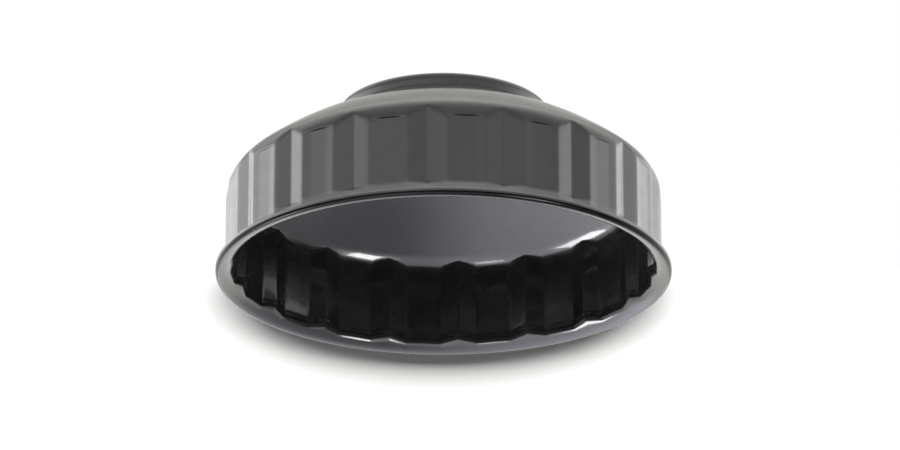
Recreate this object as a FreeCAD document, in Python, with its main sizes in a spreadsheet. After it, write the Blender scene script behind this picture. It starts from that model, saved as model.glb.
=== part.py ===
"""Cup oil filter wrench: a pressed steel cup with an internal fluted grip, a turned
square-drive hub through its crown, and the weld bead that holds the two together.

The part stands on its rim: z = 0 is the rim's flat edge, +Z runs up the axis to the hub.
The cup is the difference of two fluted forms, its outside and its cavity.
"""
import FreeCAD, Part
import math
import os

import Sketcher

V = FreeCAD.Vector

# Driving dimensions, in millimetres. Each is a cell of the sheet, under the same name.
SIZES = {
    "ridge_circle": 96.0,        # across opposite grip ridges inside the cup
    "flute_count": 18,           # grip ridges round the wall
    "flute_depth": 1.0,          # how far a ridge stands in from the lands beside it
    "flute_width": 8.9,          # width of a ridge's V at its open side
    "sheet": 1.8,                # steel sheet of the cup
    "wall_height": 18.6,         # rim to where the shoulder starts to turn in
    "shoulder_radius": 8.5,      # outside radius from the wall to the crown
    "crown_radius": 77.0,        # outside radius of the crown, a cap centred on the axis
    "land_setback": 0.1,         # how far the lands' edges are pressed in behind the shoulder
    "lip_bend": 4.6,             # inside radius where the wall turns out into the rim
    "lip_land": 0.6,             # flat that the rim stands on
    "lip_edge": 0.3,             # rounding of the rim's two outer edges
    "hub_diameter": 50.4,        # hub above the cup
    "hub_height": 4.4,           # hub above its flat seat on the crown
    "hub_edge": 2.0,             # rounding of the hub's top edge
    "seat_ledge": 0.4,           # flat seat that shows round the hub
    "neck_diameter": 32.0,       # hub's neck through the cup
    "neck_reach": 6.6,           # neck below the inside of the seat
    "neck_clearance": 0.1,       # gap all round the neck in the cup's hole
    "drive_square": 12.8,        # across the flats of the half-inch drive socket
    "drive_chamfer": 1.0,        # lead-in at the socket's mouth
    "detent_diameter": 14.4,     # groove that the drive's sprung ball snaps into
    "detent_width": 3.4,         # height of that groove
    "detent_drop": 6.4,          # hub's top face to the middle of that groove
    "weld_leg": 3.0,             # leg of the bead between the neck and the seat
    "weld_face": 3.9,            # radius of the bead's full face
    "cut_margin": 1.0,           # how far cutting tools run past what they cut
}

# Derived sizes, as expressions on the sheet.
RIDGE_IN = "Sizes.ridge_circle / 2"
RIDGE_OUT = f"({RIDGE_IN} + Sizes.sheet)"
LAND_IN = f"({RIDGE_IN} + Sizes.flute_depth)"
LAND_OUT = f"({LAND_IN} + Sizes.sheet)"
HALF_PITCH = "(180 deg / Sizes.flute_count)"
FLUTE_Y = "Sizes.flute_width / 2"                                   # edge of a V from its middle


def flute_x(land):
    """Distance from the axis to the edge of a V, along the V's own middle line."""
    return f"(({land} - {FLUTE_Y} * sin({HALF_PITCH})) / cos({HALF_PITCH}))"


SHOULDER_OUT = f"(sqrt({flute_x(LAND_OUT)} ^ 2 + ({FLUTE_Y}) ^ 2) + Sizes.land_setback)"
BEND_R = f"({SHOULDER_OUT} - Sizes.shoulder_radius)"                # centre of the shoulder's bend
CENTRES_APART = "(Sizes.crown_radius - Sizes.shoulder_radius)"      # crown's and bend's centres
BEND_RISE = f"sqrt({CENTRES_APART} ^ 2 - {BEND_R} ^ 2)"
CROWN_Z = f"(Sizes.wall_height - {BEND_RISE})"                      # centre of the crown
SEAT_R = "(Sizes.hub_diameter / 2 + Sizes.seat_ledge)"
SEAT_Z = f"({CROWN_Z} + sqrt(Sizes.crown_radius ^ 2 - {SEAT_R} ^ 2))"
BEND_CENTRE = f"({RIDGE_IN} + Sizes.lip_bend)"
LIP_OUT = f"({BEND_CENTRE} + Sizes.lip_land)"
FLOOR_Z = f"({SEAT_Z} - Sizes.sheet)"
NECK = "Sizes.neck_diameter / 2"
NECK_END_Z = f"({FLOOR_Z} - Sizes.neck_reach)"
HUB_TOP_Z = f"({SEAT_Z} + Sizes.hub_height)"

doc = FreeCAD.newDocument("FilterWrench")


def make_sheet():
    """Put the driving dimensions in a spreadsheet, one aliased cell each."""
    sheet = doc.addObject("Spreadsheet::Sheet", "Sizes")
    for row, (name, value) in enumerate(SIZES.items(), start=1):
        sheet.set(f"A{row}", name)
        sheet.set(f"B{row}", str(value))
        sheet.setAlias(f"B{row}", name)
    doc.recompute()
    return sheet


sheet = make_sheet()


def value_of(expression):
    """The number that an expression on the sheet gives now."""
    result = sheet.evalExpression(expression.replace("Sizes.", ""))
    return float(getattr(result, "Value", result))


def make_body(name):
    """A PartDesign body with a label of its own."""
    body = doc.addObject("PartDesign::Body", name)
    body.Label = name
    return body


def make_sketch(body, name, plane_role):
    """A sketch on one of the body's own origin planes."""
    plane = next(item for item in body.Origin.OriginFeatures if item.Role == plane_role)
    sketch = body.newObject("Sketcher::SketchObject", name)
    sketch.AttachmentSupport = [(plane, "")]
    sketch.MapMode = "FlatFace"
    return sketch


def arc_between(start, end, radius, turn):
    """The arc under half a circle from start to end: turn is 1 to the left, -1 to the right."""
    chord = end - start
    middle = (start + end) * 0.5
    sagitta_side = V(-chord.y, chord.x, 0).normalize() * turn
    centre = middle + sagitta_side * math.sqrt(radius ** 2 - (chord.Length / 2) ** 2)
    first, last = (start, end) if turn > 0 else (end, start)
    angle_first = math.atan2(first.y - centre.y, first.x - centre.x)
    angle_last = math.atan2(last.y - centre.y, last.x - centre.x)
    if angle_last < angle_first:
        angle_last += 2 * math.pi
    return Part.ArcOfCircle(Part.Circle(centre, V(0, 0, 1), radius), angle_first, angle_last)


def bind(sketch, kind, where, expression):
    """Add a dimension to a sketch and tie it to the sheet."""
    index = sketch.addConstraint(Sketcher.Constraint(kind, *where, value_of(expression)))
    sketch.setExpression(f"Constraints[{index}]", expression)


def draw_outline(sketch, corners, arcs=None):
    """Draw a closed outline through corners given as pairs of expressions.

    arcs maps the number of a side to (radius expression, turn); every other side is straight.
    """
    arcs = arcs or {}
    origin_x_axis, origin_y_axis = -1, -2
    points = [V(value_of(x), value_of(y), 0) for x, y in corners]
    starts, ends = [], []
    for side, start in enumerate(points):
        end = points[(side + 1) % len(points)]
        if side in arcs:
            radius, turn = arcs[side]
            index = sketch.addGeometry(arc_between(start, end, value_of(radius), turn))
            bind(sketch, "Radius", (index,), radius)
            begins_at, finishes_at = (1, 2) if turn > 0 else (2, 1)
        else:
            index = sketch.addGeometry(Part.LineSegment(start, end))
            begins_at, finishes_at = 1, 2
        starts.append((index, begins_at))
        ends.append((index, finishes_at))
    for side, (x, y) in enumerate(corners):
        sketch.addConstraint(Sketcher.Constraint("Coincident", *ends[side - 1], *starts[side]))
        if x == "0":
            sketch.addConstraint(Sketcher.Constraint("PointOnObject", *starts[side], origin_y_axis))
        else:
            bind(sketch, "DistanceX", starts[side], x)
        if y == "0":
            sketch.addConstraint(Sketcher.Constraint("PointOnObject", *starts[side], origin_x_axis))
        else:
            bind(sketch, "DistanceY", starts[side], y)


def revolve(body, kind, name, corners, arcs=None):
    """Turn an outline in the XZ plane once round the body's Z axis."""
    sketch = make_sketch(body, f"{name}_outline", "XZ_Plane")
    draw_outline(sketch, corners, arcs)
    turned = body.newObject(f"PartDesign::{kind}", name)
    turned.Profile = sketch
    turned.ReferenceAxis = (sketch, ["V_Axis"])
    turned.Angle = 360
    sketch.Visibility = False
    doc.recompute()
    return turned


def cut_flutes(body, ridge, land, reach):
    """Cut the wall to flat lands with V grooves between them, one pitch repeated round.

    ridge is the radius at the bottom of a V, land the distance from the axis to a flat land,
    and reach a radius outside everything that is cut away.
    """
    land_x = f"{land} * cos({HALF_PITCH})"
    land_y = f"{land} * sin({HALF_PITCH})"
    reach_x = f"{reach} * cos({HALF_PITCH})"
    reach_y = f"{reach} * sin({HALF_PITCH})"
    corners = [
        (ridge, "0"),
        (flute_x(land), f"-({FLUTE_Y})"),
        (land_x, f"-({land_y})"),
        (reach_x, f"-({reach_y})"),
        (reach_x, reach_y),
        (land_x, land_y),
        (flute_x(land), FLUTE_Y),
    ]
    sketch = make_sketch(body, f"{body.Name}_flute_outline", "XY_Plane")
    draw_outline(sketch, corners)
    pocket = body.newObject("PartDesign::Pocket", f"{body.Name}_flute")
    pocket.Profile = sketch
    pocket.Type = "ThroughAll"
    pocket.Reversed = True
    sketch.Visibility = False
    doc.recompute()
    pattern = body.newObject("PartDesign::PolarPattern", f"{body.Name}_flutes")
    pattern.Originals = [pocket]
    pattern.Axis = (sketch, ["N_Axis"])
    pattern.Angle = 360
    pattern.setExpression("Occurrences", "Sizes.flute_count")
    body.Tip = pattern
    doc.recompute()
    return pattern


def make_fluted_form(name, inset, ridge, land):
    """A solid with a crowned top, a rounded shoulder and a fluted wall.

    inset is how far the form lies inside the cup's outside: nothing for the outside itself,
    and the sheet for the cavity. The crown and the shoulder meet in a tangent.
    """
    shoulder = f"({SHOULDER_OUT} - {inset})"
    bend = f"(Sizes.shoulder_radius - {inset})"
    crown = f"(Sizes.crown_radius - {inset})"
    top = f"({SEAT_Z} - {inset})"
    body = make_body(name)
    revolve(body, "Revolution", f"{name}_dome", [
        ("0", "0"),
        (shoulder, "0"),
        (shoulder, "Sizes.wall_height"),
        (f"{crown} * {BEND_R} / {CENTRES_APART}",
         f"{CROWN_Z} + {crown} * {BEND_RISE} / {CENTRES_APART}"),
        (f"sqrt({crown} ^ 2 - ({top} - {CROWN_Z}) ^ 2)", top),
        ("0", top),
    ], {2: (bend, 1), 3: (crown, 1)})
    cut_flutes(body, ridge, land, f"({shoulder} + Sizes.cut_margin)")
    return body


def make_outside():
    """The cup's outside, with its turned-out rim."""
    body = make_fluted_form("cup_outside", "0", RIDGE_OUT, LAND_OUT)
    revolve(body, "Revolution", "lip_outside", [
        ("0", "0"),
        (f"{LIP_OUT} - Sizes.lip_edge", "0"),
        (LIP_OUT, "Sizes.lip_edge"),
        (LIP_OUT, "Sizes.sheet - Sizes.lip_edge"),
        (f"{LIP_OUT} - Sizes.lip_edge", "Sizes.sheet"),
        (BEND_CENTRE, "Sizes.sheet"),
        (RIDGE_OUT, "Sizes.lip_bend"),
        ("0", "Sizes.lip_bend"),
    ], {
        1: ("Sizes.lip_edge", 1),
        3: ("Sizes.lip_edge", 1),
        5: ("Sizes.lip_bend - Sizes.sheet", -1),
    })
    return body


def make_cavity():
    """The space inside the cup, flared at the mouth and run past the rim."""
    body = make_fluted_form("cup_cavity", "Sizes.sheet", RIDGE_IN, LAND_IN)
    revolve(body, "Revolution", "lip_flare", [
        ("0", "-Sizes.cut_margin"),
        (BEND_CENTRE, "-Sizes.cut_margin"),
        (BEND_CENTRE, "0"),
        (RIDGE_IN, "Sizes.lip_bend"),
        ("0", "Sizes.lip_bend"),
    ], {2: ("Sizes.lip_bend", -1)})
    return body


def make_cup_shell():
    """The pressed cup: outside less cavity, with the hub's hole through its seat."""
    hole = doc.addObject("Part::Cylinder", "hub_hole")
    hole.setExpression("Radius", f"{NECK} + Sizes.neck_clearance")
    hole.setExpression("Height", "Sizes.sheet + 2 * Sizes.cut_margin")
    hole.setExpression("Placement.Base.z", f"{FLOOR_Z} - Sizes.cut_margin")
    hollow = doc.addObject("Part::Cut", "cup_hollow")
    hollow.Base = make_outside()
    hollow.Tool = make_cavity()
    cup = doc.addObject("Part::Cut", "cup_shell")
    cup.Base = hollow
    cup.Tool = hole
    cup.Label = "cup_shell"
    return cup


def make_drive_hub():
    """The turned hub with its neck, through socket, lead-in and ball groove."""
    body = make_body("drive_hub")
    revolve(body, "Revolution", "hub_turning", [
        ("0", NECK_END_Z),
        (NECK, NECK_END_Z),
        (NECK, SEAT_Z),
        ("Sizes.hub_diameter / 2", SEAT_Z),
        ("Sizes.hub_diameter / 2", f"{HUB_TOP_Z} - Sizes.hub_edge"),
        ("Sizes.hub_diameter / 2 - Sizes.hub_edge", HUB_TOP_Z),
        ("0", HUB_TOP_Z),
    ], {4: ("Sizes.hub_edge", 1)})
    half = "Sizes.drive_square / 2"
    square = make_sketch(body, "socket_outline", "XY_Plane")
    draw_outline(square, [(half, f"-({half})"), (half, half), (f"-({half})", half),
                          (f"-({half})", f"-({half})")])
    socket = body.newObject("PartDesign::Pocket", "socket")
    socket.Profile = square
    socket.Type = "ThroughAll"
    socket.Reversed = True
    square.Visibility = False
    doc.recompute()
    top = value_of(HUB_TOP_Z)
    mouth = [f"Edge{number}" for number, edge in enumerate(socket.Shape.Edges, start=1)
             if isinstance(edge.Curve, Part.Line)
             and all(abs(vertex.Z - top) < 1e-6 for vertex in edge.Vertexes)]
    lead_in = body.newObject("PartDesign::Chamfer", "socket_lead_in")
    lead_in.Base = (socket, mouth)
    lead_in.setExpression("Size", "Sizes.drive_chamfer")
    doc.recompute()
    groove_middle = f"({HUB_TOP_Z} - Sizes.detent_drop)"
    revolve(body, "Groove", "ball_groove", [
        ("0", f"{groove_middle} - Sizes.detent_width / 2"),
        ("Sizes.detent_diameter / 2", f"{groove_middle} - Sizes.detent_width / 2"),
        ("Sizes.detent_diameter / 2", f"{groove_middle} + Sizes.detent_width / 2"),
        ("0", f"{groove_middle} + Sizes.detent_width / 2"),
    ])
    return body


def make_weld_bead():
    """The fillet weld round the hub's neck, under the cup's seat, with a crowned face."""
    body = make_body("weld_bead")
    revolve(body, "Revolution", "bead", [
        (NECK, FLOOR_Z),
        (NECK, f"{FLOOR_Z} - Sizes.weld_leg"),
        (f"{NECK} + Sizes.weld_leg", FLOOR_Z),
    ], {1: ("Sizes.weld_face", 1)})
    return body


def check_document(parts):
    """Stop on any failed object, null or invalid solid, or solid that is not one piece."""
    for item in doc.Objects:
        if "Invalid" in item.State or "Error" in item.State:
            raise RuntimeError(f"{item.Name} did not compute: {item.State}")
    for part in parts:
        shape = part.Shape
        if shape.isNull() or not shape.isValid() or len(shape.Solids) != 1:
            raise RuntimeError(f"{part.Label} is not one valid solid")


parts = [make_cup_shell(), make_drive_hub(), make_weld_bead()]
doc.recompute()
check_document(parts)
os.makedirs("parts", exist_ok=True)
for part in parts:
    part.Shape.exportStep(f"parts/{part.Label}.step")
    box = part.Shape.BoundBox
    print(f"{part.Label}: {part.Shape.Volume:.1f} mm3, z {box.ZMin:.2f} to {box.ZMax:.2f}, "
          f"{box.XLength:.2f} x {box.YLength:.2f}")
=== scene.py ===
import math

import bmesh
import bpy
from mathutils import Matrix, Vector


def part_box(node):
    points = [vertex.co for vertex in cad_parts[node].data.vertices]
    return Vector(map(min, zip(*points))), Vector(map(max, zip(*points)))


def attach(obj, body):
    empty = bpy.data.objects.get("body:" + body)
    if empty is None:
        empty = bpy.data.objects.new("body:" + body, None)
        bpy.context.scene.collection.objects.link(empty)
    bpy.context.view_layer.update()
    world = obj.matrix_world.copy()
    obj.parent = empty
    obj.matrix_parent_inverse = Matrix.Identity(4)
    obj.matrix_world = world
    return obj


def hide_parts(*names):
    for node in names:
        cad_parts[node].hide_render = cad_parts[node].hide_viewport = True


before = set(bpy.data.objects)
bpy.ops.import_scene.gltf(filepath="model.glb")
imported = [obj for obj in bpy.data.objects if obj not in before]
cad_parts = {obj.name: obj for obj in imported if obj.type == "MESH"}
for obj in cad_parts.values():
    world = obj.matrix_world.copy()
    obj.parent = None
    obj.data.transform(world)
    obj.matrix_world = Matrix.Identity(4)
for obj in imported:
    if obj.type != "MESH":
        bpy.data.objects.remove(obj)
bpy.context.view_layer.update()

# ---------------------------------------------------------------------------
# Sizes of the wrench in metres: the outsides come from the frame, and the few
# sizes that a box can't give are the ones that the pieces were made to.
# ---------------------------------------------------------------------------
MM = 0.001
cup_low, cup_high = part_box("cup_shell")
hub_low, hub_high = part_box("drive_hub")
weld_low, weld_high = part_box("weld_bead")

LIP_RADIUS = cup_high.x                     # outside of the turned-out rim
SEAT = cup_high.z                           # flat seat that the hub stands on
HUB_RADIUS = hub_high.x
HUB_TOP = hub_high.z
NECK_END = hub_low.z
WELD_RADIUS = weld_high.x
WELD_LOW = weld_low.z
SHEET = SEAT - weld_high.z                  # the cup's steel

FLUTES = 18
PITCH = 2 * math.pi / FLUTES
RIDGE_RADIUS = 48.0 * MM                    # crest of a grip ridge, inside the cup
FLUTE_DEPTH = 1.0 * MM
FLUTE_HALF_WIDTH = 4.45 * MM
VALLEY_RADIUS = RIDGE_RADIUS + SHEET        # bottom of a flute, outside the cup
LAND_RADIUS = VALLEY_RADIUS + FLUTE_DEPTH   # from the axis to a flat land, outside
SHOULDER_RADIUS = LAND_RADIUS + 0.29 * MM   # outside of the wall before the flutes are pressed
SHOULDER_BEND = 8.5 * MM
CROWN_RADIUS = 77.0 * MM
SHOULDER_HEIGHT = 18.6 * MM
LIP_BEND = 4.6 * MM                         # bend into the rim, on the cup's inner face
LIP_BEND_CENTRE = RIDGE_RADIUS + LIP_BEND
LIP_ROLL = 1.1 * MM                         # rounding of the rim's lower outer edge
LIP_TOP_EDGE = 0.25 * MM                    # rounding of its upper outer edge
LIP_LAP = 0.14                              # turn of the bend that the rounding takes away
FLUTE_SOFTNESS = 0.10 * MM                  # how far two faces are rounded into each other
SHOULDER_SOFTNESS = 0.25 * MM
LIP_SOFTNESS = 0.9 * MM
LIP_FADE = 1.2 * MM                         # below the bend's top, where that rounding sets in
LIP_FOLLOW = 0.5                            # how far the bend follows the lands and flutes
LAND_STEP = 0.20 * MM                       # small step that the press leaves near a land's top
LAND_STEP_TOP = 20.55 * MM
LAND_STEP_RISE = 0.40 * MM
LAND_STEP_START = math.radians(5.4)         # from the middle of a flute
LAND_STEP_FULL = math.radians(6.6)
WALL_START = 42.0 * MM                      # nothing nearer the axis is pressed to the flutes
HOLE_EDGE = 0.3 * MM                        # rounding of the neck hole's edges
HOLE_EDGE_TURN = math.radians(60)           # edges that turn less than this stay as they are
TOUCHING = 1e-7                             # points nearer than this are one point
NECK_RADIUS = 16.0 * MM
NECK_HOLE = NECK_RADIUS + 0.1 * MM
HUB_EDGE = 2.0 * MM
HUB_FOOT = 1.6 * MM                         # fillet between the hub's side and its foot
HUB_FOOT_RISE = 0.8 * MM
HUB_FOOT_REACH = 0.4 * MM
HUB_FOOT_TIP = 0.05 * MM
NECK_ROOT = 0.1 * MM
NECK_EDGE = 0.6 * MM
SOCKET_HALF = 6.4 * MM
SOCKET_END_EDGE = 0.4 * MM
SOCKET_MOUTH_EDGE = 0.2 * MM
SOCKET_LEAD_IN = 1.0 * MM
LEAD_IN_EDGE = 0.15 * MM
GROOVE_RADIUS = 7.2 * MM                    # groove that a drive's sprung ball snaps into
GROOVE_HALF_WIDTH = 1.7 * MM
GROOVE_DROP = 6.4 * MM                      # hub's top to the middle of the groove
GROOVE_EDGE = 0.08 * MM
GROOVE_CORNER = 0.25 * MM
SQUARE_REACH = 11.0 * MM                    # where the socket's square has faded into the round top
SOCKET_CORNER = 40                          # how square the socket's corners are
SUPPORT = 0.12 * MM                         # ring beside each rounding that keeps the flats flat
WELD_LEG = 3.0 * MM
WELD_TOP = WELD_LOW + WELD_LEG
WELD_FACE_RADIUS = 3.9 * MM
WELD_BULGE = 0.6 * MM                       # how far the face must stand out for full ripples
WELD_RIPPLES = 64
WELD_SWEEP = 2.2                            # how far a ripple's ends trail behind its middle
WELD_RIPPLE_DEPTH = 0.22 * MM

# Steps of the meshes along their sections and round the axis
SEAT_STEPS = 4
CROWN_STEPS = 30
SHOULDER_STEPS = 32
WALL_STEPS = 14
LIP_STEPS_OUTSIDE = 18
LIP_STEPS_INSIDE = 22
LIP_TOP_EDGE_STEPS = 5
LIP_ROLL_STEPS = 8
HOLE_EDGE_STEPS = 3
HUB_EDGE_STEPS = 6
WELD_FACE_STEPS = 12
WELD_LEG_STEPS = 3
HUB_STEPS = 192
WELD_STEPS = 512
STEPS_PER_FLUTE = 20
STEPS_ROUND = FLUTES * STEPS_PER_FLUTE
GATHERED = 4                                # times per flute: valley, both edges, land's middle
GATHER = 0.75                               # how much finer the mesh is there

# Finishes: colours, sizes of blotches and marks, and the ranges of noise that show them
CUP_BLACK = (0.0035, 0.0035, 0.0038)
HUB_BLACK = (0.0040, 0.0040, 0.0040)
WELD_BLACK = (0.014, 0.013, 0.012)
CUP_GLOSS = (0.26, 0.06)                    # roughness of the paint and of its clear skin
HUB_GLOSS = (0.30, 0.08)
WELD_GLOSS = (0.42, 0.22)
BARE_STEEL = (0.16, 0.155, 0.15)
# Painted shade: dark dull metal for the rim's rolled lower edge, standing in for the dark
# reflection there
PAINTED_DARK_COLOUR = (0.012, 0.012, 0.012)
# Dust and painted highlight: a lighter colour over the bend at the wall's foot
DUST_AND_HIGHLIGHT = (0.055, 0.055, 0.053)
CLOUD_SIZE = 14 * MM
CLOUD_RANGE = (0.35, 0.65)
CLOUD_LIGHTER = 1.5
GLOSS_SIZE = 4 * MM
GLOSS_RANGE = (0.3, 0.7)
SMOOTHER = 0.04                             # how far the roughness varies down and up
ROUGHER = 0.05
PEEL_SIZE = 1.6 * MM
PEEL_DEPTH = 0.006 * MM
NIB_SIZE = 0.9 * MM
NIB_RANGE = (0.70, 0.78)
NIB_DEPTH = 0.010 * MM
BASE_SPECULAR = 0.35
COAT = 0.7
RAGGED = 0.7                                # roughness of the noise that breaks up worn places
CHIP_SIZE = 0.7 * MM
CHIP_RANGE = (0.62, 0.70)
CHIP_WEAR = 0.35
CHIP_REACH = 0.5 * MM                       # from the rim's edge inwards
CHIP_FULL = 0.05 * MM
# Where the painted shade lies on the rim's rolled lower edge: in from the rim, and up from its foot
DARK_BAND_REACH = 0.75 * MM
DARK_BAND_FULL = 0.50 * MM
DARK_BAND_TOP = LIP_ROLL * 1.05
DARK_BAND_TOP_FULL = LIP_ROLL * 0.8
# Where the dust and painted highlight lie: out from the wall's foot, and the heights of the band
DUST_AND_HIGHLIGHT_REACH = 0.4 * MM                       # out from the foot of the wall
DUST_AND_HIGHLIGHT_HEIGHTS = (1.3 * MM, 1.6 * MM, 3.6 * MM, 4.6 * MM)     # none, full, full, none
RUB_SIZE = 0.8 * MM
RUB_RANGE = (0.50, 0.60)
RUB_RADII = (10.4 * MM, 8.6 * MM)           # none, full
SCALE_SIZE = 0.5 * MM
SCALE_RANGE = (0.62, 0.70)
SCALE_SHOWN = 0.35

# View and stage
VIEW_AZIMUTH = -5.74                        # degrees round from the front
VIEW_ELEVATION = -20.71                     # degrees, so that the camera looks up into the cup
VIEW_DISTANCE = 1.311
AIM_RIGHT = 1.495 * MM
AIM_UP = 12.35 * MM
LENS = 224.9                                # the camera's own millimetres
SENSOR_WIDTH = 36
FLOOR_REACH = 4.0
FLOOR_DROP = 0.1 * MM
FLOOR_COLOUR = (0.80, 0.80, 0.79)
FLOOR_ROUGHNESS = 0.9
FLOOR_SPECULAR = 0.1
SHADE_REACH = 0.5
SHADE_COLOUR = (0.72, 0.72, 0.71)
SHADE_FADE = (-4 * MM, 14 * MM)             # behind the axis: none, full

# The studio's brightness in each direction
BACKDROP = (1.0, 1.0, 1.0)
FRONT_LEFT_LIGHT = (1.45, 1.43, 1.48)
FRONT_RIGHT_LIGHT = (1.10, 1.09, 1.13)
LEFT_LIGHT = (2.8, 2.78, 2.8)
RIGHT_LIGHT = (2.2, 2.2, 2.2)
BACK_LIGHT = (1.0, 0.98, 0.94)
OVERHEAD_LIGHT = (0.76, 0.76, 0.77)
BEHIND_LIGHT = (1.15, 1.14, 1.10)
HIGH_BACK_LIGHT = (0.60, 0.59, 0.565)
BELOW_LEFT_LIGHT = (2.45, 2.40, 2.65)
BELOW_RIGHT_LIGHT = (0.78, 0.75, 0.82)
LOW_LEFT_LIGHT = (2.9, 2.85, 3.05)
LOW_RIGHT_LIGHT = (1.7, 1.65, 1.8)
LOW_BACK_LIGHT = (1.3, 1.28, 1.22)
DARK_LIGHT = (0.05, 0.05, 0.05)
FILL_LIGHT = (0.11, 0.11, 0.11)

# Where each brightness turns into the next: cosines with the front, the right or straight up
ACROSS = (-0.35, 0.35)
BELOW_ACROSS = (-0.35, 0.30)
SIDES_TO_FRONT = (-0.10, 0.55)
BACK_TO_SIDES = (-0.92, -0.60)
BEHIND_TO_OVERHEAD = (-0.30, 0.10)
HIGH_BACK_TO_BEHIND = (-0.68, -0.50)
LEVEL_TO_OVERHEAD = (0.37, 0.55)
BELOW_TO_LOW = (0.15, 0.60)
LOW_BACK_TO_DARK = (-0.30, 0.10)
BELOW_TO_HORIZON = (-0.52, -0.38)
LOWER_TO_UPPER = (-0.10, 0.12)

# Softboxes: degrees round from the view, elevation, distance, size, brightness, and whether
# they are seen in reflections
SOFTBOXES = {
    "low_right_softbox": (52, -41, 1.2, (0.34, 0.38), 19, True),
    "low_front_softbox": (-29, -38, 1.2, (0.30, 0.18), 7, True),
    "low_left_softbox": (-98, -36, 1.2, (0.62, 0.32), 14, True),
    "key_softbox": (3, 47, 1.5, (0.9, 0.9), 22, False),
}


# ---------------------------------------------------------------------------
# Mesh helpers
# ---------------------------------------------------------------------------
def polar(radius, angle):
    """A point of the section, as radius from the axis and height."""
    return Vector((radius * math.cos(angle), 0, radius * math.sin(angle)))


def arc(centre, radius, start, end, steps):
    """Points of an arc in the section plane, both ends included; angles from the +X side."""
    return [centre + polar(radius, start + (end - start) * i / steps) for i in range(steps + 1)]


def straight(start, end, steps):
    """Points of a straight stretch, both ends included."""
    return [start.lerp(end, i / steps) for i in range(steps + 1)]


def joined(*stretches):
    """Stretches of a section end to end, without the points that they share."""
    points = []
    for stretch in stretches:
        for point in stretch:
            if not points or (point - points[-1]).length > TOUCHING:
                points.append(point)
    return points


def spin_round(bm, corners, steps):
    """Join a section's corners into a closed outline and spin it once round the axis."""
    edges = [bm.edges.new(pair) for pair in zip(corners, corners[1:] + corners[:1])]
    bmesh.ops.spin(bm, geom=corners + edges, cent=(0, 0, 0), axis=(0, 0, 1),
                   angle=2 * math.pi, steps=steps, use_merge=True)
    bmesh.ops.remove_doubles(bm, verts=bm.verts, dist=TOUCHING)
    bmesh.ops.recalc_face_normals(bm, faces=bm.faces)


def spun(points, steps):
    """A closed ring made by spinning a section once round the axis."""
    bm = bmesh.new()
    spin_round(bm, [bm.verts.new(point) for point in points], steps)
    return bm


def placed(bm, name, material):
    """The bmesh as an object of the scene, with one material."""
    mesh = bpy.data.meshes.new(name)
    bm.to_mesh(mesh)
    bm.free()
    mesh.materials.append(material)
    thing = bpy.data.objects.new(name, mesh)
    bpy.context.scene.collection.objects.link(thing)
    return thing


def finished(bm, name, material, node):
    """The bmesh as a smooth piece that rides on the body and stands for its CAD node."""
    piece = placed(bm, name, material)
    polygons = piece.data.polygons
    polygons.foreach_set("use_smooth", [True] * len(polygons))
    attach(piece, "root")
    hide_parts(node)
    return piece


def staged(bm, name, material):
    """The bmesh as part of the stage, seen by the camera only."""
    thing = placed(bm, name, material)
    thing.visible_glossy = False
    thing.visible_diffuse = False
    thing.visible_shadow = False
    thing.visible_transmission = False


def smooth_step(value, start, end):
    """0 at start and 1 at end, with a soft run between them."""
    share = min(max((value - start) / (end - start), 0), 1)
    return share * share * (3 - 2 * share)


# ---------------------------------------------------------------------------
# The pressed cup
# ---------------------------------------------------------------------------
def soft_least(a, b, softness):
    """The lesser of two sizes, rounded off where they are nearly equal."""
    mix = max(softness - abs(a - b), 0) / softness
    return min(a, b) - mix * mix * softness / 4


def soft_most(a, b, softness):
    """The greater of two sizes, rounded off where they are nearly equal."""
    return -soft_least(-a, -b, softness)


def turn_from_valley(angle):
    """Angle to the middle of the nearest flute."""
    return abs((angle + PITCH / 2) % PITCH - PITCH / 2)


def flute_radius(angle, depth):
    """Radius of the fluted wall at a depth in the sheet: flat lands, and flutes that make a V."""
    from_valley = turn_from_valley(angle)
    half_pitch = PITCH / 2
    land_distance, valley = LAND_RADIUS - depth, VALLEY_RADIUS - depth
    land = land_distance / math.cos(half_pitch - from_valley)
    edge = (land_distance - FLUTE_HALF_WIDTH * math.sin(half_pitch)) / math.cos(half_pitch)
    slope = (edge - valley) / FLUTE_HALF_WIDTH
    side = valley / (math.cos(from_valley) - slope * math.sin(from_valley))
    return soft_least(land, side, FLUTE_SOFTNESS)


def lip_radius(height, depth):
    """Radius of the bend into the rim at a height and a depth in the sheet."""
    bend = LIP_BEND - SHEET + depth
    return LIP_BEND_CENTRE - math.sqrt(bend ** 2 - (LIP_BEND - height) ** 2)


def flared(wall, height, depth):
    """The wall's radius below the bend's top, turned out into the rim that the lands fade into."""
    follow = LIP_FOLLOW * smooth_step(height, SHEET - depth, LIP_BEND)
    lip = lip_radius(height, depth) + follow * (wall - VALLEY_RADIUS + depth)
    softness = LIP_SOFTNESS * smooth_step(height, LIP_BEND, LIP_BEND - LIP_FADE)
    return soft_most(wall, lip, softness + TOUCHING)


def land_step(angle, height):
    """How far the middle of a land is coined in below the small step at its top."""
    on_land = smooth_step(turn_from_valley(angle), LAND_STEP_START, LAND_STEP_FULL)
    return LAND_STEP * on_land * smooth_step(height, LAND_STEP_TOP, LAND_STEP_TOP - LAND_STEP_RISE)


def gathered(angle):
    """An angle moved towards the nearest quarter of a flute, for a finer mesh at the creases."""
    turn = GATHERED * 2 * math.pi / PITCH
    return angle - GATHER / turn * math.sin(turn * angle)


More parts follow.
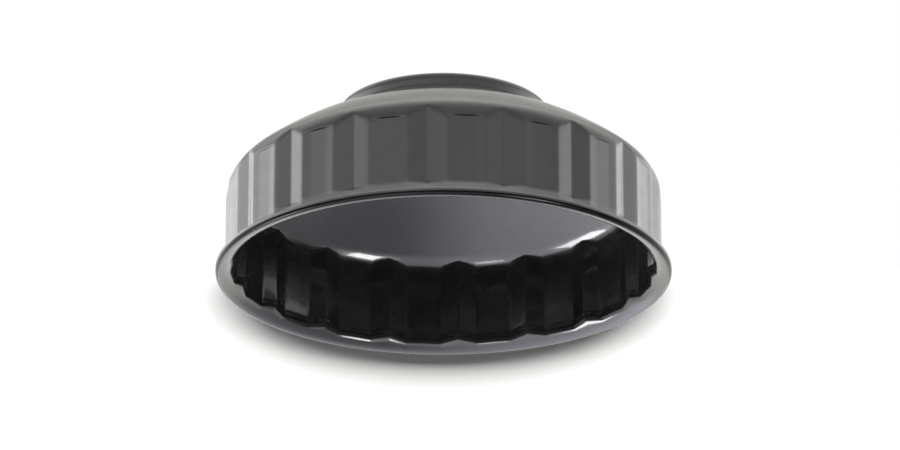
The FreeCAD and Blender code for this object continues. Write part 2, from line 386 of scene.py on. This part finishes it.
def press_flutes(bm, depth_layer):
    """Press the spun blank's wall in to the flutes, from the shoulder down to the rim's bend."""
    for vert in bm.verts:
        radius = vert.co.xy.length
        angle = gathered(math.atan2(vert.co.y, vert.co.x))
        depth = vert[depth_layer] * SHEET
        if radius > WALL_START and vert.co.z > SHEET - depth + TOUCHING:
            blank = radius if vert.co.z > LIP_BEND else SHOULDER_RADIUS - depth
            wall = soft_least(blank, flute_radius(angle, depth), SHOULDER_SOFTNESS)
            if not depth:
                wall -= land_step(angle, vert.co.z)
            radius = flared(wall, vert.co.z, depth) if vert.co.z < LIP_BEND else wall
        vert.co.xy = radius * math.cos(angle), radius * math.sin(angle)


def dome(depth):
    """Section of the cup from the neck hole out to the wall's foot, at a depth in the sheet."""
    bend_centre = Vector((SHOULDER_RADIUS - SHOULDER_BEND, 0, SHOULDER_HEIGHT))
    centres_apart = CROWN_RADIUS - SHOULDER_BEND
    crown_centre = Vector((0, 0, SHOULDER_HEIGHT
                           - math.sqrt(centres_apart ** 2 - bend_centre.x ** 2)))
    tangent = math.atan2(bend_centre.z - crown_centre.z, bend_centre.x)
    seat, crown = SEAT - depth, CROWN_RADIUS - depth
    seat_angle = math.asin((seat - crown_centre.z) / crown)
    return joined(
        straight(Vector((NECK_HOLE, 0, seat)), crown_centre + polar(crown, seat_angle),
                 SEAT_STEPS),
        arc(crown_centre, crown, seat_angle, tangent, CROWN_STEPS),
        arc(bend_centre, SHOULDER_BEND - depth, tangent, 0, SHOULDER_STEPS),
        straight(Vector((SHOULDER_RADIUS - depth, 0, SHOULDER_HEIGHT)),
                 Vector((SHOULDER_RADIUS - depth, 0, LIP_BEND)), WALL_STEPS),
    )


def make_cup(material):
    """The cup: a blank spun to its section, then fluted."""
    lip_centre = Vector((LIP_BEND_CENTRE, 0, LIP_BEND))
    roll_centre = Vector((LIP_RADIUS - LIP_ROLL, 0, LIP_ROLL))
    top_centre = Vector((LIP_RADIUS - LIP_TOP_EDGE, 0, SHEET - LIP_TOP_EDGE))
    outside = joined(
        dome(0),
        arc(lip_centre, LIP_BEND - SHEET, math.pi, 1.5 * math.pi, LIP_STEPS_OUTSIDE)[1:],
        arc(top_centre, LIP_TOP_EDGE, math.pi / 2, 0, LIP_TOP_EDGE_STEPS),
        arc(roll_centre, LIP_ROLL, 0, -math.pi / 2, LIP_ROLL_STEPS),
    )
    inside = joined(
        arc(lip_centre, LIP_BEND, 1.5 * math.pi - LIP_LAP, math.pi, LIP_STEPS_INSIDE)[:-1],
        dome(SHEET)[::-1],
    )
    bm = bmesh.new()
    depth_layer = bm.verts.layers.int.new("inside")
    corners = [bm.verts.new(point) for point in outside + inside]
    for corner in corners[len(outside):]:
        corner[depth_layer] = 1
    spin_round(bm, corners, STEPS_ROUND)
    press_flutes(bm, depth_layer)
    bm.verts.layers.int.remove(depth_layer)
    cup = finished(bm, "cup_pressing", material, "cup_shell")
    edges = cup.modifiers.new("rolled_edges", "BEVEL")
    edges.width = HOLE_EDGE
    edges.segments = HOLE_EDGE_STEPS
    edges.limit_method = "ANGLE"
    edges.angle_limit = HOLE_EDGE_TURN


# ---------------------------------------------------------------------------
# The turned hub with its square socket
# ---------------------------------------------------------------------------
def rounded_section(corners):
    """A section through corners given as (radius from the axis, height, rounding)."""
    points = []
    for index, (x, z, rounding) in enumerate(corners):
        corner = Vector((x, 0, z))
        to_before = Vector((corners[index - 1][0], 0, corners[index - 1][1])) - corner
        after = corners[(index + 1) % len(corners)]
        to_after = Vector((after[0], 0, after[1])) - corner
        to_before.normalize()
        to_after.normalize()
        half_turn = to_before.angle(to_after) / 2
        reach = rounding / math.tan(half_turn)
        centre = corner + (to_before + to_after).normalized() * rounding / math.sin(half_turn)
        first = (corner + to_before * reach - centre).normalized()
        last = (corner + to_after * reach - centre).normalized()
        points.append(corner + to_before * (reach + SUPPORT))
        for step in range(HUB_EDGE_STEPS + 1):
            points.append(centre + first.slerp(last, step / HUB_EDGE_STEPS) * rounding)
        points.append(corner + to_after * (reach + SUPPORT))
    return points


def squared(radius, angle):
    """Distance from the axis to the side of a square hole with slightly rounded corners."""
    across, along = abs(math.cos(angle)), abs(math.sin(angle))
    return radius / (across ** SOCKET_CORNER + along ** SOCKET_CORNER) ** (1 / SOCKET_CORNER)


def square_the_socket(bm):
    """Turn the round hole of a spun hub into the square socket, and leave its ball groove round."""
    mouth = SOCKET_HALF + SOCKET_LEAD_IN
    groove = HUB_TOP - GROOVE_DROP
    for vert in bm.verts:
        radius = vert.co.xy.length
        if radius > SQUARE_REACH:
            continue
        angle = math.atan2(vert.co.y, vert.co.x)
        flats = squared(min(radius, mouth), angle)
        blend = max(radius - mouth, 0) / (SQUARE_REACH - mouth)
        reshaped = flats + (SQUARE_REACH - flats) * blend
        if groove - GROOVE_HALF_WIDTH <= vert.co.z <= groove + GROOVE_HALF_WIDTH:
            reshaped = max(squared(SOCKET_HALF, angle), radius)
        vert.co.xy *= reshaped / radius


def make_hub(material):
    """The hub: turned outside, broached square through it, lead-in and ball groove."""
    groove = HUB_TOP - GROOVE_DROP
    section = rounded_section([
        (HUB_RADIUS, HUB_TOP, HUB_EDGE),
        (HUB_RADIUS, SEAT + HUB_FOOT_RISE, HUB_FOOT),
        (HUB_RADIUS + HUB_FOOT_REACH, SEAT, HUB_FOOT_TIP),
        (NECK_RADIUS, SEAT, NECK_ROOT),
        (NECK_RADIUS, NECK_END, NECK_EDGE),
        (SOCKET_HALF, NECK_END, SOCKET_END_EDGE),
        (SOCKET_HALF, groove - GROOVE_HALF_WIDTH, GROOVE_EDGE),
        (GROOVE_RADIUS, groove - GROOVE_HALF_WIDTH, GROOVE_CORNER),
        (GROOVE_RADIUS, groove + GROOVE_HALF_WIDTH, GROOVE_CORNER),
        (SOCKET_HALF, groove + GROOVE_HALF_WIDTH, GROOVE_EDGE),
        (SOCKET_HALF, HUB_TOP - SOCKET_LEAD_IN, LEAD_IN_EDGE),
        (SOCKET_HALF + SOCKET_LEAD_IN, HUB_TOP, SOCKET_MOUTH_EDGE),
    ])
    bm = spun(section, HUB_STEPS)
    square_the_socket(bm)
    finished(bm, "turned_hub", material, "drive_hub")


# ---------------------------------------------------------------------------
# The weld bead between neck and crown
# ---------------------------------------------------------------------------
def ripple_the_bead(bm):
    """Lay the bead down as overlapping ripples, deepest in the middle of its face."""
    middle = Vector((NECK_RADIUS + WELD_LEG / 3, WELD_TOP - WELD_LEG / 3))
    for vert in bm.verts:
        angle = math.atan2(vert.co.y, vert.co.x)
        radius = vert.co.xy.length
        across = (radius - NECK_RADIUS - (vert.co.z - WELD_LOW)) / WELD_LEG
        bulge = max(radius - NECK_RADIUS + WELD_TOP - vert.co.z - WELD_LEG, 0) / WELD_BULGE
        wave = abs(math.sin(WELD_RIPPLES / 2 * angle + WELD_SWEEP * across ** 2))
        inward = (middle - Vector((radius, vert.co.z))).normalized()
        move = inward * WELD_RIPPLE_DEPTH * (1 - wave) * min(bulge, 1)
        vert.co.xy *= (radius + move.x) / radius
        vert.co.z += move.y


def make_weld(material):
    """The bead: a fillet with a slightly full face, welded all round the neck."""
    face_centre_reach = math.sqrt(WELD_FACE_RADIUS ** 2 - WELD_LEG ** 2 / 2)
    inward = Vector((1, 0, 1)).normalized()
    middle = Vector((NECK_RADIUS + WELD_LEG / 2, 0, WELD_TOP - WELD_LEG / 2))
    centre = middle + Vector((-inward.x, 0, inward.z)) * face_centre_reach
    half_span = math.asin(WELD_LEG / math.sqrt(2) / WELD_FACE_RADIUS)
    root, toe = Vector((NECK_RADIUS, 0, WELD_TOP)), Vector((NECK_RADIUS, 0, WELD_LOW))
    section = joined(
        straight(root, toe, WELD_LEG_STEPS),
        arc(centre, WELD_FACE_RADIUS, -math.pi / 4 - half_span, -math.pi / 4 + half_span,
            WELD_FACE_STEPS),
        straight(Vector((WELD_RADIUS, 0, WELD_TOP)), root, WELD_LEG_STEPS)[:-1],
    )
    bm = spun(section, WELD_STEPS)
    ripple_the_bead(bm)
    finished(bm, "weld_bead_ripples", material, "weld_bead")


# ---------------------------------------------------------------------------
# Materials
# ---------------------------------------------------------------------------
class Nodes:
    """The node tree of a material or world, with short calls for the nodes used here."""

    def __init__(self, owner, coordinates):
        owner.use_nodes = True
        self.owner = owner
        self.tree = owner.node_tree
        self.place = self.add("ShaderNodeTexCoord").outputs[coordinates]

    def add(self, kind, **values):
        """A new node with these settings."""
        node = self.tree.nodes.new(kind)
        for key, value in values.items():
            setattr(node, key, value)
        return node

    def feed(self, socket, value):
        """Link another node's output to a socket, or set it to a number, vector or (r, g, b)."""
        if isinstance(value, bpy.types.NodeSocket):
            self.tree.links.new(value, socket)
        elif isinstance(value, tuple):
            socket.default_value = (*value, 1)
        else:
            socket.default_value = value

    def noise(self, size, detail, roughness=0.5):
        """Noise from 0 to 1 whose blotches are about this size in metres."""
        node = self.add("ShaderNodeTexNoise")
        self.feed(node.inputs["Scale"], 1 / size)
        self.feed(node.inputs["Detail"], detail)
        self.feed(node.inputs["Roughness"], roughness)
        self.feed(node.inputs["Vector"], self.place)
        return node.outputs["Fac"]

    def ranged(self, source, start, end, low=0.0, high=1.0):
        """A smooth step: low where the source is at start or past it, high at end or past it."""
        node = self.add("ShaderNodeMapRange", interpolation_type="SMOOTHSTEP")
        self.feed(node.inputs["Value"], source)
        self.feed(node.inputs["From Min"], start)
        self.feed(node.inputs["From Max"], end)
        self.feed(node.inputs["To Min"], low)
        self.feed(node.inputs["To Max"], high)
        return node.outputs["Result"]

    def maths(self, operation, *values):
        """One operation on one or two numbers."""
        node = self.add("ShaderNodeMath", operation=operation)
        for socket, value in zip(node.inputs, values):
            self.feed(socket, value)
        return node.outputs["Value"]

    def mixed(self, share, first, second):
        """The first colour where the share is 0 and the second where it is 1."""
        node = self.add("ShaderNodeMix", data_type="RGBA")
        first_colour, second_colour = (socket for socket in node.inputs
                                       if socket.type == "RGBA")
        self.feed(node.inputs["Factor"], share)
        self.feed(first_colour, first)
        self.feed(second_colour, second)
        return next(socket for socket in node.outputs if socket.type == "RGBA")

    def bump(self, height, depth, under=None):
        """A bump whose full height is this deep in metres, on top of another bump."""
        node = self.add("ShaderNodeBump")
        self.feed(node.inputs["Distance"], depth)
        self.feed(node.inputs["Height"], height)
        if under:
            self.feed(node.inputs["Normal"], under)
        return node.outputs["Normal"]

    def along(self, direction):
        """How far a place or direction goes along another direction."""
        node = self.add("ShaderNodeVectorMath", operation="DOT_PRODUCT")
        self.feed(node.inputs[0], self.place)
        self.feed(node.inputs[1], direction)
        return node.outputs["Value"]

    def radius_and_height(self):
        """Distance from the axis and height above the rim's plane."""
        parts = self.add("ShaderNodeSeparateXYZ")
        self.feed(parts.inputs[0], self.place)
        x, y, height = parts.outputs
        squares = self.maths("ADD", self.maths("MULTIPLY", x, x), self.maths("MULTIPLY", y, y))
        return self.maths("SQRT", squares), height


def gloss_paint(name, base, roughness, coat_roughness):
    """Black stoved paint: faint clouding, orange peel, fine nibs of dust and an even gloss."""
    paint = Nodes(bpy.data.materials.new(name), "Object")
    lighter = tuple(channel * CLOUD_LIGHTER for channel in base)
    colour = paint.mixed(paint.ranged(paint.noise(CLOUD_SIZE, 3), *CLOUD_RANGE), base, lighter)
    matt = paint.ranged(paint.noise(GLOSS_SIZE, 4), *GLOSS_RANGE,
                        roughness - SMOOTHER, roughness + ROUGHER)
    peel = paint.bump(paint.noise(PEEL_SIZE, 1), PEEL_DEPTH)
    nibs = paint.bump(paint.ranged(paint.noise(NIB_SIZE, 3), *NIB_RANGE), NIB_DEPTH, under=peel)
    shader = paint.tree.nodes["Principled BSDF"]
    paint.feed(shader.inputs["Roughness"], matt)
    paint.feed(shader.inputs["Normal"], nibs)
    paint.feed(shader.inputs["Coat Normal"], nibs)
    paint.feed(shader.inputs["Specular IOR Level"], BASE_SPECULAR)
    paint.feed(shader.inputs["Coat Weight"], COAT)
    paint.feed(shader.inputs["Coat Roughness"], coat_roughness)
    return paint, shader, colour


def worn_and_painted_dark(paint, shader, colour, wear, painted_dark=None):
    """Lay bare steel where the wear is 1, and painted shade as dark dull metal where the last mask
    is 1; finish the material.
    """
    bared_and_painted_dark = paint.mixed(wear, colour, BARE_STEEL)
    metal = wear
    if painted_dark:
        bared_and_painted_dark = paint.mixed(painted_dark, bared_and_painted_dark, PAINTED_DARK_COLOUR)
        metal = paint.maths("MAXIMUM", wear, painted_dark)
    paint.feed(shader.inputs["Base Color"], bared_and_painted_dark)
    paint.feed(shader.inputs["Metallic"], metal)
    return paint.owner


def cup_paint():
    """Paint of the cup: chipped along the rim, painted shade as a dark dull band on its rolled
    edge, and dust with a painted highlight as a lighter band at the wall's foot.
    """
    paint, shader, colour = gloss_paint("cup_black_paint", CUP_BLACK, *CUP_GLOSS)
    radius, height = paint.radius_and_height()
    edge = paint.ranged(radius, LIP_RADIUS - CHIP_REACH, LIP_RADIUS - CHIP_FULL)
    chips = paint.ranged(paint.noise(CHIP_SIZE, 4, RAGGED), *CHIP_RANGE, 0, CHIP_WEAR)
    # Painted shade: the rim's rolled lower edge turned to dark dull metal without the clear coat
    painted_dark_band = paint.maths("MULTIPLY",
                          paint.ranged(radius, LIP_RADIUS - DARK_BAND_REACH, LIP_RADIUS - DARK_BAND_FULL),
                          paint.ranged(height, DARK_BAND_TOP, DARK_BAND_TOP_FULL))
    coat = paint.maths("MULTIPLY", paint.maths("SUBTRACT", 1.0, painted_dark_band), COAT)
    paint.feed(shader.inputs["Coat Weight"], coat)
    # Dust and painted highlight: a lighter band over the bend at the wall's foot, standing in for
    # its bright reflection
    band_low, band_full_low, band_full_high, band_high = DUST_AND_HIGHLIGHT_HEIGHTS
    corner = paint.maths("MULTIPLY",
                         paint.ranged(radius, VALLEY_RADIUS, VALLEY_RADIUS + DUST_AND_HIGHLIGHT_REACH),
                         paint.maths("MULTIPLY", paint.ranged(height, band_high, band_full_high),
                                     paint.ranged(height, band_low, band_full_low)))
    dusted_and_highlighted = paint.mixed(corner, colour, DUST_AND_HIGHLIGHT)
    return worn_and_painted_dark(paint, shader, dusted_and_highlighted, paint.maths("MULTIPLY", edge, chips), painted_dark_band)


def hub_paint():
    """Paint of the hub, rubbed at the socket's mouth where drives go in."""
    paint, shader, colour = gloss_paint("hub_black_paint", HUB_BLACK, *HUB_GLOSS)
    radius, _ = paint.radius_and_height()
    rubbed = paint.ranged(paint.noise(RUB_SIZE, 4, RAGGED), *RUB_RANGE)
    mouth = paint.ranged(radius, *RUB_RADII)
    return worn_and_painted_dark(paint, shader, colour, paint.maths("MULTIPLY", mouth, rubbed))


def weld_paint():
    """Paint over the bead, duller and pitted where spatter and scale lie under it."""
    paint, shader, colour = gloss_paint("weld_black_paint", WELD_BLACK, *WELD_GLOSS)
    scale = paint.ranged(paint.noise(SCALE_SIZE, 4, RAGGED), *SCALE_RANGE)
    return worn_and_painted_dark(paint, shader, colour, paint.maths("MULTIPLY", scale, SCALE_SHOWN))


# ---------------------------------------------------------------------------
# Stage, light and camera
# ---------------------------------------------------------------------------
def seen_from(azimuth, elevation):
    """Direction from the wrench, in degrees round from the front and up from the floor."""
    round_angle, up_angle = math.radians(azimuth), math.radians(elevation)
    return Vector((math.sin(round_angle) * math.cos(up_angle),
                   -math.cos(round_angle) * math.cos(up_angle), math.sin(up_angle)))


def shown_where(nodes, share, surface):
    """Show a surface where the share is 1 and leave it clear where it is 0."""
    clear = nodes.add("ShaderNodeBsdfTransparent")
    either = nodes.add("ShaderNodeMixShader")
    nodes.feed(either.inputs[0], share)
    nodes.feed(either.inputs[1], clear.outputs["BSDF"])
    nodes.feed(either.inputs[2], surface)
    nodes.feed(nodes.tree.nodes["Material Output"].inputs["Surface"], either.outputs["Shader"])
    return nodes.owner


def floor_finish():
    """A pale floor that is clear from below."""
    pale = Nodes(bpy.data.materials.new("floor_pale"), "Object")
    shader = pale.tree.nodes["Principled BSDF"]
    pale.feed(shader.inputs["Base Color"], FLOOR_COLOUR)
    pale.feed(shader.inputs["Roughness"], FLOOR_ROUGHNESS)
    pale.feed(shader.inputs["Specular IOR Level"], FLOOR_SPECULAR)
    from_below = pale.add("ShaderNodeNewGeometry").outputs["Backfacing"]
    return shown_where(pale, pale.maths("SUBTRACT", 1.0, from_below), shader.outputs["BSDF"])


def make_floor():
    """A pale floor just under the rim, seen from above only."""
    bm = bmesh.new()
    bmesh.ops.create_grid(bm, x_segments=1, y_segments=1, size=FLOOR_REACH)
    bmesh.ops.translate(bm, verts=bm.verts, vec=(0, 0, -FLOOR_DROP))
    staged(bm, "floor", floor_finish())


def shade_finish():
    """Frosting that lets light through, clear from above and in front of the wrench."""
    frosted = Nodes(bpy.data.materials.new("shade_frosted"), "Object")
    frost = frosted.add("ShaderNodeBsdfTranslucent")
    frosted.feed(frost.inputs["Color"], SHADE_COLOUR)
    behind = frosted.ranged(frosted.along(seen_from(VIEW_AZIMUTH + 180, 0)), *SHADE_FADE)
    from_below = frosted.add("ShaderNodeNewGeometry").outputs["Backfacing"]
    return shown_where(frosted, frosted.maths("MULTIPLY", behind, from_below),
                       frost.outputs["BSDF"])


def make_shade():
    """A frosted sheet round the rim that shows the wrench's shadow from below."""
    bm = bmesh.new()
    inner = bm.verts.new((LIP_RADIUS + FLOOR_DROP, 0, LIP_ROLL))
    outer = bm.verts.new((SHADE_REACH, 0, LIP_ROLL))
    bmesh.ops.spin(bm, geom=[inner, outer, bm.edges.new((inner, outer))], cent=(0, 0, 0),
                   axis=(0, 0, 1), angle=2 * math.pi, steps=STEPS_ROUND, use_merge=True)
    bmesh.ops.recalc_face_normals(bm, faces=bm.faces)
    if sum(face.normal.z for face in bm.faces) < 0:
        bmesh.ops.reverse_faces(bm, faces=bm.faces)
    staged(bm, "shade", shade_finish())


def aimed(thing, place, target):
    """Put a light or camera at a place, facing a target."""
    thing.location = place
    thing.rotation_mode = "QUATERNION"
    thing.rotation_quaternion = (target - place).to_track_quat("-Z", "Y")


def make_softbox(name, azimuth, elevation, distance, size, brightness, reflected):
    """A square or oblong soft light facing the wrench, placed by angles from the view."""
    light = bpy.data.lights.new(name, "AREA")
    light.shape = "RECTANGLE"
    light.size, light.size_y = size
    light.energy = brightness * math.pi * size[0] * size[1]
    softbox = bpy.data.objects.new(name, light)
    bpy.context.scene.collection.objects.link(softbox)
    direction = seen_from(VIEW_AZIMUTH + azimuth, elevation)
    aimed(softbox, direction * distance, Vector((0, 0, HUB_TOP / 2)))
    softbox.visible_camera = False
    softbox.visible_glossy = reflected


def make_studio_light():
    """A white studio whose brightness changes softly with direction."""
    world = bpy.data.worlds.new("studio")
    bpy.context.scene.world = world
    studio = Nodes(world, "Generated")
    front = studio.along(seen_from(VIEW_AZIMUTH, 0))
    right = studio.along(seen_from(VIEW_AZIMUTH + 90, 0))
    up = studio.along(Vector((0, 0, 1)))

    def blended(cosine, turn, first, second):
        return studio.mixed(studio.ranged(cosine, *turn), first, second)

    ahead = blended(right, ACROSS, FRONT_LEFT_LIGHT, FRONT_RIGHT_LIGHT)
    beside = blended(right, ACROSS, LEFT_LIGHT, RIGHT_LIGHT)
    level = blended(front, SIDES_TO_FRONT, beside, ahead)
    level = blended(front, BACK_TO_SIDES, BACK_LIGHT, level)
    overhead = blended(front, BEHIND_TO_OVERHEAD, BEHIND_LIGHT, OVERHEAD_LIGHT)
    overhead = blended(front, HIGH_BACK_TO_BEHIND, HIGH_BACK_LIGHT, overhead)
    upper = blended(up, LEVEL_TO_OVERHEAD, level, overhead)
    below = blended(right, BELOW_ACROSS, BELOW_LEFT_LIGHT, BELOW_RIGHT_LIGHT)
    before = blended(right, BELOW_ACROSS, LOW_LEFT_LIGHT, LOW_RIGHT_LIGHT)
    below = blended(front, BELOW_TO_LOW, below, before)
    horizon = blended(front, LOW_BACK_TO_DARK, LOW_BACK_LIGHT, DARK_LIGHT)
    lower = blended(up, BELOW_TO_HORIZON, below, horizon)
    whole = blended(up, LOWER_TO_UPPER, lower, upper)

    ray = studio.add("ShaderNodeLightPath").outputs
    shown = studio.mixed(ray["Is Camera Ray"], whole, BACKDROP)
    shown = studio.mixed(ray["Is Diffuse Ray"], shown, FILL_LIGHT)
    studio.feed(studio.tree.nodes["Background"].inputs["Color"], shown)


def make_camera():
    """The camera, under the rim's plane and looking up into the cup."""
    data = bpy.data.cameras.new("camera")
    data.lens = LENS
    data.sensor_width = SENSOR_WIDTH
    camera = bpy.data.objects.new("camera", data)
    bpy.context.scene.collection.objects.link(camera)
    towards_camera = seen_from(VIEW_AZIMUTH, VIEW_ELEVATION)
    right = seen_from(VIEW_AZIMUTH + 90, 0)
    up = towards_camera.cross(right)
    aimed(camera, towards_camera * VIEW_DISTANCE, right * AIM_RIGHT + up * AIM_UP)
    bpy.context.scene.camera = camera


make_camera()
make_cup(cup_paint())
make_hub(hub_paint())
make_weld(weld_paint())
make_floor()
make_shade()
make_studio_light()
for softbox_name, softbox in SOFTBOXES.items():
    make_softbox(softbox_name, *softbox)

bpy.context.scene.view_settings.view_transform = "Standard"
